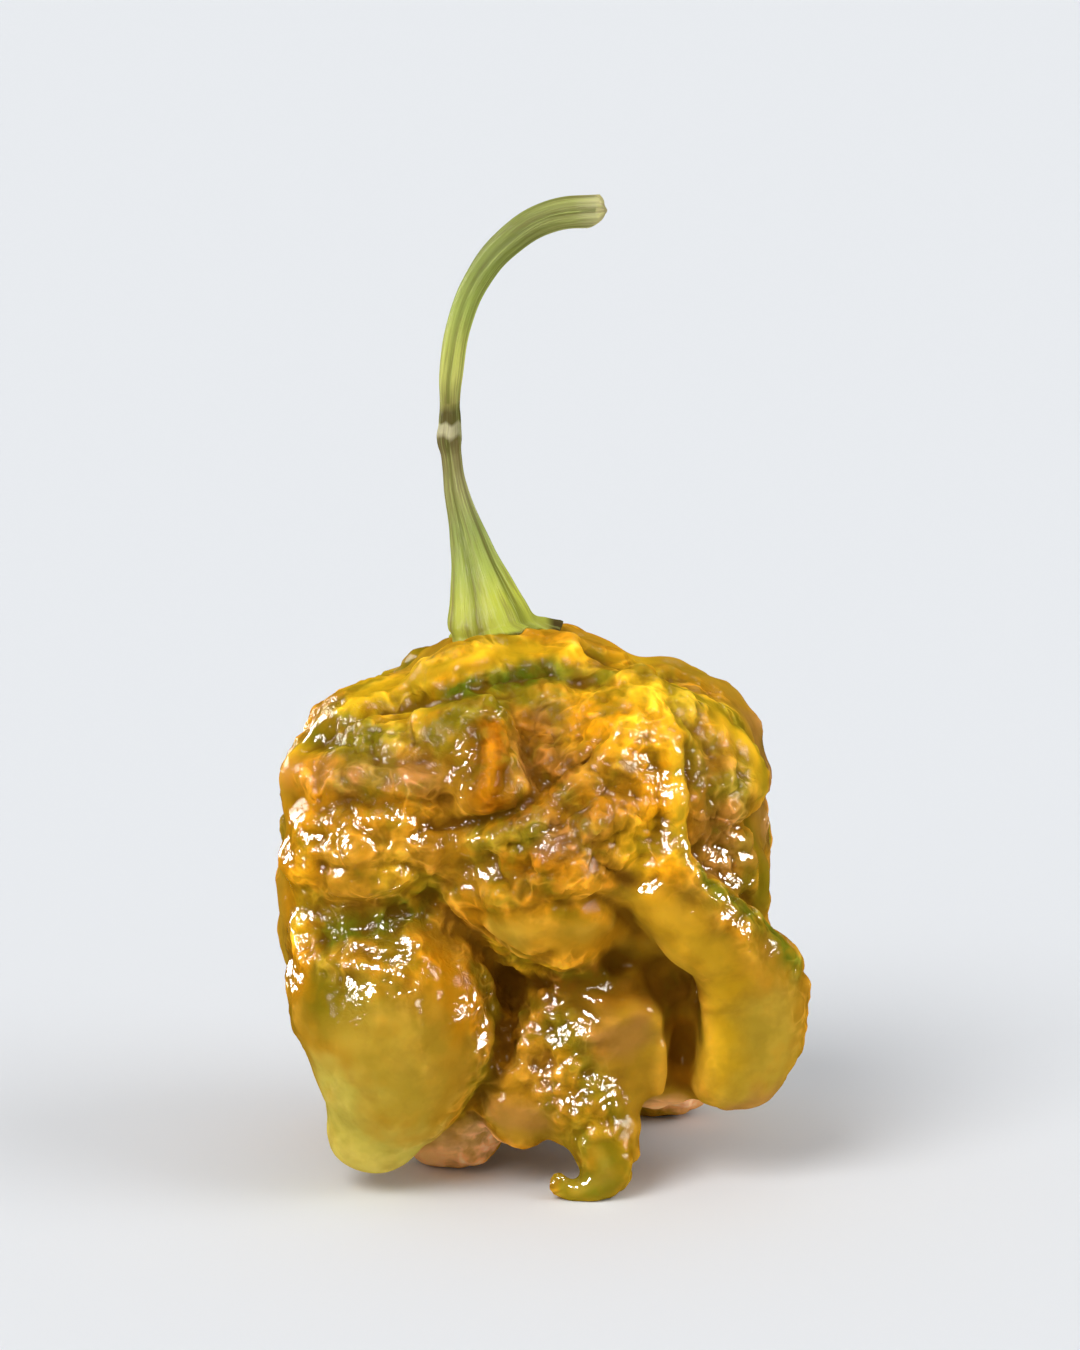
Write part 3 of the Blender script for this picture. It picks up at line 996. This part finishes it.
# fine veins: how drawn out their noise is, the noise values where they start and are full, how strong
veinScale = (7, 7, 2)
stemVeins = [
    {"colour": (0.62, 0.66, 0.2, 1), "from": 0.54, "to": 0.66, "most": 0.5},
    {"colour": (0.17, 0.12, 0.035, 1), "from": 0.47, "to": 0.36, "most": 0.45},
]
grainScale = 2600
# bumps: how strong, and how deep in mm
stemBumps = {"veins": (0.55, 0.35), "grain": (0.2, 0.1)}
stemFinish = {
    "Roughness": 0.6,
    "Specular IOR Level": 0.0,
    "Coat Weight": 0.05,
    "Coat Roughness": 0.28,
    "Subsurface Weight": 0.15,
    "Subsurface Radius": (0.7, 1.0, 0.2),
    "Subsurface Scale": 0.6 * mm,
}


def ringSection():
    bpy.ops.curve.primitive_nurbs_circle_add(radius=mm)
    ring = bpy.context.object
    ring.data.splines.clear()
    line = ring.data.splines.new("POLY")
    line.points.add(stem["sides"] - 1)
    for i, point in enumerate(line.points):
        angle = math.tau * i / stem["sides"]
        point.co = (mm * math.cos(angle), mm * math.sin(angle), 0, 1)
    line.use_cyclic_u = True
    ring.data.dimensions = "2D"
    return ring


def makeStem():
    section = ringSection()
    bpy.ops.curve.primitive_bezier_curve_add()
    made = bpy.context.object
    made.location = (0, 0, 0)
    made.name = "calyxAndStem"
    made.data.splines.clear()
    line = made.data.splines.new("BEZIER")
    line.bezier_points.add(len(stemLine) - 1)
    for point, (x, y, z, radius) in zip(line.bezier_points, stemLine):
        point.co = Vector((x, y, z)) * mm
        point.handle_left_type = point.handle_right_type = "AUTO"
        point.radius = radius
    line.radius_interpolation = "CARDINAL"
    made.data.dimensions = "3D"
    made.data.resolution_u = stem["steps"]
    made.data.bevel_mode = "OBJECT"
    made.data.bevel_object = section
    made.data.use_fill_caps = True
    selectOnly(made)
    bpy.ops.object.convert(target="MESH")
    bpy.data.objects.remove(section)
    mergePoints(made, faceOut=True)
    insetCut(made)
    return made


def insetCut(obj):
    # the cap of the cut end made one face, then rings of faces for its rough pith
    bpy.ops.object.mode_set(mode="EDIT")
    bpy.ops.mesh.select_all(action="DESELECT")
    bpy.ops.object.mode_set(mode="OBJECT")
    tip = Vector(stemLine[-1][:3]) * mm
    heading = (tip - Vector(stemLine[-2][:3]) * mm).normalized()
    for face in obj.data.polygons:
        onTip = (face.center - tip).length < 1.1 * tipRadius * mm
        face.select = onTip and face.normal.dot(heading) > 0.8
    bpy.ops.object.mode_set(mode="EDIT")
    bpy.ops.mesh.select_mode(type="FACE")
    bpy.ops.mesh.dissolve_faces()
    for width in stem["cutInsets"]:
        bpy.ops.mesh.inset(thickness=width * mm, depth=0)
    bpy.ops.mesh.poke()
    bpy.ops.object.mode_set(mode="OBJECT")


def alongStem(points):
    # how far along the stem each point is in mm, its angle round from the back, and the stem's middle
    # and heading there
    line = np.array(throughMarks(stemLine))[:, :3]
    nearest = np.full(len(points), np.inf)
    along = np.zeros(len(points))
    middle = np.zeros((len(points), 3))
    heading = np.zeros((len(points), 3))
    before = 0.0
    for start, end in zip(line, line[1:]):
        run = end - start
        length = np.linalg.norm(run)
        share = np.clip((points - start) @ run / length**2, 0.0, 1.0)
        place = start + share[:, None] * run
        far = np.linalg.norm(points - place, axis=1)
        closer = far < nearest
        nearest[closer] = far[closer]
        along[closer] = before + share[closer] * length
        middle[closer] = place[closer]
        heading[closer] = run / length
        before += length
    back = np.array([0.0, 1.0, 0.0]) - heading * heading[:, 1:2]
    back /= np.linalg.norm(back, axis=1)[:, None]
    out = points - middle
    angle = np.arctan2(np.sum(out * np.cross(heading, back), axis=1), np.sum(out * back, axis=1))
    return along, angle, middle, heading


def crownHeight(pod, points):
    # the height of the pod's skin under or over each point, in mm
    aboveCrown = 60.0
    heights = []
    for x, y, z in points:
        hit, place, _, _ = pod.ray_cast(Vector((x, y, aboveCrown)) * mm, Vector((0, 0, -1)))
        heights.append(place.z / mm if hit else z)
    return np.array(heights)


def ribWave(angle):
    # 1 on a rib, where the teeth are too, and -1 between two
    return np.cos(stem["ribs"] * (angle - stem["ribTurn"]))


def toothShare(angle):
    # 1 at the tip of the dried tooth, less at the others, 0 between two
    teeth = np.clip(ribWave(angle), 0.0, 1.0) ** calyx["toothShape"]
    dried = np.cos(angle - stem["ribTurn"]) > math.cos(math.pi / stem["ribs"])
    return teeth * np.where(dried, 1.0, calyx["otherTeeth"])


def seatCalyx(obj, pod):
    # the stem's foot spread into a toothed brim that lies on the crown
    points, _ = readSkin(obj)
    along, angle, middle, _ = alongStem(points)
    low = along < calyx["top"]
    share = along[low] / calyx["top"]  # 0 at the hidden foot, 1 where the brim's own shape ends
    angle, middle = angle[low], middle[low]
    outward = np.column_stack([-np.sin(angle), np.cos(angle)])
    tooth = toothShare(angle)
    reach = calyx["reach"] + calyx["lean"] * outward[:, 0] + calyx["tooth"] * tooth
    edge = np.column_stack([middle[:, :2] + outward * reach[:, None], middle[:, 2]])
    seat = crownHeight(pod, edge) + calyx["curl"] * tooth**3
    shares, widths, lifts = zip(*calyx["underside"])
    under = share < shares[-1]
    clear = lifts[-1]
    rise = growing(share, shares[-1], 1.0 - shares[-1])
    shrink = calyx["flare"] * (1.0 - rise) ** calyx["flareShape"] + (1.0 - calyx["flare"]) * (1.0 - rise)
    narrowed = calyx["topRadius"] + (reach - calyx["topRadius"]) * shrink
    radius = np.where(under, reach * np.interp(share, shares, widths), narrowed)
    climbed = seat + clear + (calyx["topHeight"] - seat - clear) * rise ** calyx["slope"]
    height = np.where(under, seat + np.interp(share, shares, lifts), climbed)
    placed = np.column_stack([middle[:, :2] + outward * radius[:, None], height])
    above = crownHeight(pod, placed) + clear
    placed[:, 2] = np.where(under, placed[:, 2], np.maximum(placed[:, 2], above))
    own = growing(rise, calyx["blendFrom"], 1.0 - calyx["blendFrom"])
    own = (own * own * (3.0 - 2.0 * own))[:, None]
    points[low] = placed * (1.0 - own) + points[low] * own
    writeSkin(obj, points)


def carveStem(obj):
    # ribs in line with the teeth, fine veins, and a rough chipped cut
    points, _ = readSkin(obj)
    along, angle, middle, heading = alongStem(points)
    out = points - middle
    low = np.clip(1.2 - along / stem["ribFade"], stem["ribLeast"], 1.0)
    upper = np.clip(along / calyx["top"] - 0.5, 0.0, 1.0)  # none in the brim
    veins = veinNoise(along, angle, *stem["veins"])
    swell = upper * (stem["ribDepth"] * low * ribWave(angle) + stem["veinDepth"] * veins)
    points = middle + out * (1.0 + swell)[:, None]
    near = growing(along, along.max() - stem["cutReach"], stem["cutReach"]) ** 2
    wide = np.clip(np.linalg.norm(out, axis=1) / tipRadius, 0.0, 1.0)
    lower = np.clip(np.cos(angle + math.pi / 2), 0.0, 1.0) ** 3 * wide**2
    pith = stem["pith"] * noiseAt(points, stem["pithSize"], 2.2) * wide
    back = near * (stem["chip"] * lower + stem["wornEdge"] * wide**4 + stem["trim"] + pith)
    writeSkin(obj, points - heading * back[:, None])


def veinNoise(along, angle, fineness, stretch):
    # streaks that run along the stem, from -1 to 1
    places = np.column_stack([np.cos(angle) * fineness, np.sin(angle) * fineness, along * stretch])
    return noiseAt(places, 1.0, 4.4)


def paintStem(obj):
    points, normals = readSkin(obj)
    along, angle, middle, heading = alongStem(points)
    places, tints = zip(*stemTints)
    uneven = along + stemStreaks["unevenness"] * veinNoise(along, angle, *stemStreaks["unevenVeins"])
    colour = np.column_stack([np.interp(uneven, places, channel) for channel in zip(*tints)])

    def blend(name, weight, where=True):
        nonlocal colour
        weight = np.where(where, np.clip(weight, 0.0, 1.0), 0.0)
        colour = colour + (np.array(stemColours[name]) - colour) * weight[:, None]

    def streaks(kind):
        settings = stemStreaks[kind]
        found = veinNoise(along, angle, *settings["veins"])
        return settings["most"] * np.clip(found - settings["from"], 0.0, 1.0)

    ringStart, ringEnd = stem["ring"]
    ring = (along > ringStart) & (along < ringEnd)
    blend("valley", stemStreaks["betweenRibs"] * np.clip(-ribWave(angle), 0.0, 1.0) ** 1.5, ~ring)
    blend("valley", streaks("valleys"), ~ring)
    blend("streak", streaks("streaks"), along < stemStreaks["streaksTo"])
    width = np.linalg.norm(points - middle, axis=1)
    dryFrom = calyx["reach"] + stemStreaks["tipFrom"]
    blend("toothTip", growing(width, dryFrom, stemStreaks["tipOver"]), along < calyx["top"])
    blend("valley", stemStreaks["ringShade"] * np.clip(-np.sin(angle), 0.0, 1.0), ring)
    atCut = along > along.max() - stemStreaks["cutLength"]
    facing = np.where(atCut, np.sum(normals * heading, axis=1), 0.0)
    blend("cut", growing(facing, stemStreaks["cutFrom"], stemStreaks["cutOver"]))
    specks = 1.0 + noiseAt(points, stemStreaks["pithSize"], 6.6)
    blend("streak", np.clip(facing - 0.5, 0.0, 0.5) * specks)
    giveColour(obj, "stemTint", colour)
    giveLayer(obj, "stemPlace", "FLOAT_VECTOR", np.column_stack([np.cos(angle), np.sin(angle), along / 10]))


def stemMaterial():
    made, tree, shader = newMaterial("greenStem")
    base = attribute(tree, "stemTint", "Color")
    place = attribute(tree, "stemPlace", "Vector")
    # fine veins drawn out along the stem: pale lines, then brown ones
    drawnOut = addNode(tree, "ShaderNodeMapping", {"Vector": place, "Scale": veinScale}).outputs["Vector"]
    veins = noiseValue(tree, drawnOut, 1, 3.0, 0.6)
    for vein in stemVeins:
        base = mixColours(tree, showing(tree, veins, vein), base, vein["colour"])
    grain = noiseValue(tree, objectPlace(tree), grainScale)
    bumps = relief(tree, veins, *stemBumps["veins"])
    bumps = relief(tree, grain, *stemBumps["grain"], bumps)
    finishSurface(tree, shader, base, bumps, stemFinish)
    return made


stemPiece = makeStem()
seatCalyx(stemPiece, pod)
carveStem(stemPiece)
applyModifier(stemPiece, "SMOOTH", factor=0.5, iterations=1)
paintStem(stemPiece)
stemPiece.data.materials.clear()
stemPiece.data.materials.append(stemMaterial())
selectOnly(stemPiece)
bpy.ops.object.shade_smooth_by_angle(angle=math.radians(50))
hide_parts("calyx_and_stem")
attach(stemPiece, "root")
print("stem done:", len(stemPiece.data.vertices), "points")

# the stage

stage = {
    "floorSize": 8.0,
    "floorColour": (0.79, 0.812, 0.845, 1),
    "floorRoughness": 0.9,
    "skyColour": (0.97, 0.985, 1.0, 1),
    "skyStrength": 0.48,
    "lightsAim": (0, 0, 0.02),
    "glintColour": (1.0, 0.94, 0.84),
}
# soft even light on everything: from where, how wide in degrees, how strong
suns = [
    {"name": "keyLight", "from": (-0.45, -0.62, 0.8), "spread": 34, "power": 1.75,
     "colour": (1, 0.985, 0.96)},
    {"name": "fillLight", "from": (0.85, -0.25, 0.7), "spread": 40, "power": 0.85, "colour": (1, 1, 1)},
]
# softboxes that only glint in the wet skin: from where, their size in m, how strong
glints = [
    {"name": "topSoftbox", "from": (-0.1, -0.44, 0.52), "size": (0.18, 0.18), "power": 20.0},
    {"name": "leftSoftbox", "from": (-0.6, -0.4, 0.21), "size": (0.16, 0.4), "power": 40.0},
    {"name": "rightSoftbox", "from": (0.56, -0.24, 0.22), "size": (0.3, 0.34), "power": 34.0},
    {"name": "overheadSoftbox", "from": (-0.1, 0.1, 0.7), "size": (0.24, 0.24), "power": 1.5},
    {"name": "leftRearSoftbox", "from": (-0.62, 0.5, 0.2), "size": (0.36, 0.4), "power": 32.0},
    {"name": "backSoftbox", "from": (0.25, 0.6, 0.5), "size": (0.24, 0.2), "power": 3.0},
]
camera = {"elevation": 14.0, "lens": 200.0, "distance": 0.56, "aimUp": 0.0372, "nearest": 0.01}


def makeStage():
    bpy.ops.object.select_all(action="DESELECT")
    bpy.ops.mesh.primitive_plane_add(size=stage["floorSize"], location=(0, 0, 0))
    floor = bpy.context.object
    floor.name = "paleFloor"
    made, _, shader = newMaterial("paleFloor")
    shader.inputs["Base Color"].default_value = stage["floorColour"]
    shader.inputs["Roughness"].default_value = stage["floorRoughness"]
    shader.inputs["Specular IOR Level"].default_value = 0.0
    floor.data.materials.append(made)
    floor.visible_glossy = False
    world = bpy.data.worlds.new("paleStudio")
    bpy.context.scene.world = world
    world.use_nodes = True
    sky = world.node_tree.nodes["Background"]
    sky.inputs["Color"].default_value = stage["skyColour"]
    sky.inputs["Strength"].default_value = stage["skyStrength"]
    world.cycles_visibility.glossy = False


def lookAt(obj, place):
    direction = Vector(place) - obj.location
    obj.rotation_euler = direction.to_track_quat("-Z", "Y").to_euler()


def addLight(kind, settings):
    bpy.ops.object.light_add(type=kind, location=settings["from"])
    made = bpy.context.object
    made.name = settings["name"]
    made.data.energy = settings["power"]
    lookAt(made, stage["lightsAim"])
    return made


def makeLights():
    for settings in suns:
        made = addLight("SUN", settings)
        made.data.angle = math.radians(settings["spread"])
        made.data.color = settings["colour"]
        made.visible_glossy = False
    for settings in glints:
        made = addLight("AREA", settings)
        made.data.shape = "RECTANGLE"
        made.data.size, made.data.size_y = settings["size"]
        made.data.color = stage["glintColour"]
        made.visible_diffuse = False
        made.visible_camera = False


def makeCamera():
    tilt = math.radians(camera["elevation"])
    target = Vector((0, 0, camera["aimUp"]))
    back = Vector((0, -math.cos(tilt), math.sin(tilt)))
    bpy.ops.object.camera_add(location=target + back * camera["distance"])
    made = bpy.context.object
    made.name = "photoCamera"
    made.data.lens = camera["lens"]
    made.data.clip_start = camera["nearest"]
    lookAt(made, target)
    bpy.context.scene.camera = made


makeStage()
makeLights()
makeCamera()
bpy.context.scene.view_settings.view_transform = "Standard"
print("stage done")
